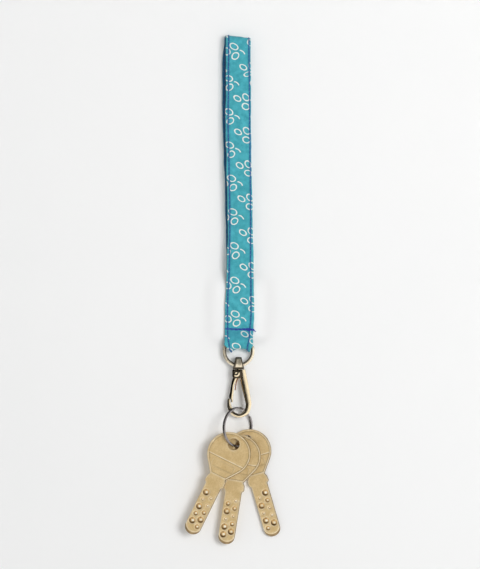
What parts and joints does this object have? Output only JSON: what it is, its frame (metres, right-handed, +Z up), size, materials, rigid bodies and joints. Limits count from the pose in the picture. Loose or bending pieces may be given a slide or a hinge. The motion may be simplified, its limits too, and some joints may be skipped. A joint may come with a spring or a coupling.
{
  "type": "wristlet keychain",
  "caption": "Printed cotton wrist strap sewn round a D-ring, with a swivel snap hook, a split ring and dimple keys.",
  "frame": {"origin": "inside of the strap loop's top, where it hangs, midway across the strap's width and between its front and rear", "axes": "+Z up along the hanging strap, -Y out of the printed front, +X to the right when seen from the front"},
  "size_m": [0.058, 0.0178, 0.3108],
  "materials": {
    "printed_cotton": "plain-weave cotton in turquoise with small cream outline ovals and dashes",
    "interfacing": "plain stiff interfacing",
    "edge_thread": "matt blue sewing thread",
    "cross_thread": "matt deep blue sewing thread",
    "pale_gold_metal": "polished pale gold plating",
    "coppered_spring": "copper-coloured spring wire",
    "gunmetal_steel": "dark polished steel",
    "key_brass": "satin brass, lightly worn"
  },
  "bodies": {
    "strap": {"cotton_cover": "printed_cotton", "strap_core": "interfacing", "needle_thread_left": "edge_thread", "needle_thread_right": "edge_thread", "bobbin_thread_left": "edge_thread", "bobbin_thread_right": "edge_thread", "cross_stitch_front": "cross_thread", "cross_stitch_back": "cross_thread"},
    "d_ring": {"d_ring": "pale_gold_metal"},
    "eye": {"swivel_eye": "pale_gold_metal"},
    "hook": {"hook_body": "pale_gold_metal", "gate_rivet": "pale_gold_metal"},
    "gate": {"gate": "pale_gold_metal", "gate_spring": "coppered_spring"},
    "ring": {"split_ring": "gunmetal_steel"},
    "key_1": {"key_1": "key_brass"},
    "key_2": {"key_2": "key_brass"},
    "key_3": {"key_3": "key_brass"}
  },
  "joints": [
    {"name": "d_ring_swing", "type": "hinge", "parent": "strap", "child": "d_ring", "pos_m": [0, 0, -0.1878], "axis": [1, 0, 0], "range_deg": [-35, 35]},
    {"name": "eye_swing", "type": "hinge", "parent": "d_ring", "child": "eye", "pos_m": [0, 0, -0.1994], "axis": [1, 0, 0], "range_deg": [-75, 75]},
    {"name": "hook_swivel", "type": "hinge", "parent": "eye", "child": "hook", "pos_m": [0, 0, -0.20205], "axis": [0, 0, 1], "continuous": true},
    {"name": "gate_open", "type": "hinge", "parent": "hook", "child": "gate", "pos_m": [-0.0012, 0, -0.2044], "axis": [0, -1, 0], "range_deg": [0, 20], "stiffness_Nm_per_rad": 0.01, "springref_deg": -11.46},
    {"name": "ring_swing", "type": "hinge", "parent": "hook", "child": "ring", "pos_m": [0, 0, -0.2301], "axis": [1, 0, 0], "range_deg": [-6, 25]},
    {"name": "key_1_swing", "type": "hinge", "parent": "ring", "child": "key_1", "pos_m": [-0.0029, -0.0042, -0.2473], "axis": [0, 1, 0], "range_deg": [-80, 45]},
    {"name": "key_2_swing", "type": "hinge", "parent": "ring", "child": "key_2", "pos_m": [0.0014, -0.0007, -0.2485], "axis": [0, 1, 0], "range_deg": [-60, 60]},
    {"name": "key_3_swing", "type": "hinge", "parent": "ring", "child": "key_3", "pos_m": [0.0049, 0.003, -0.2456], "axis": [0, 1, 0], "range_deg": [-45, 75]}
  ]
}
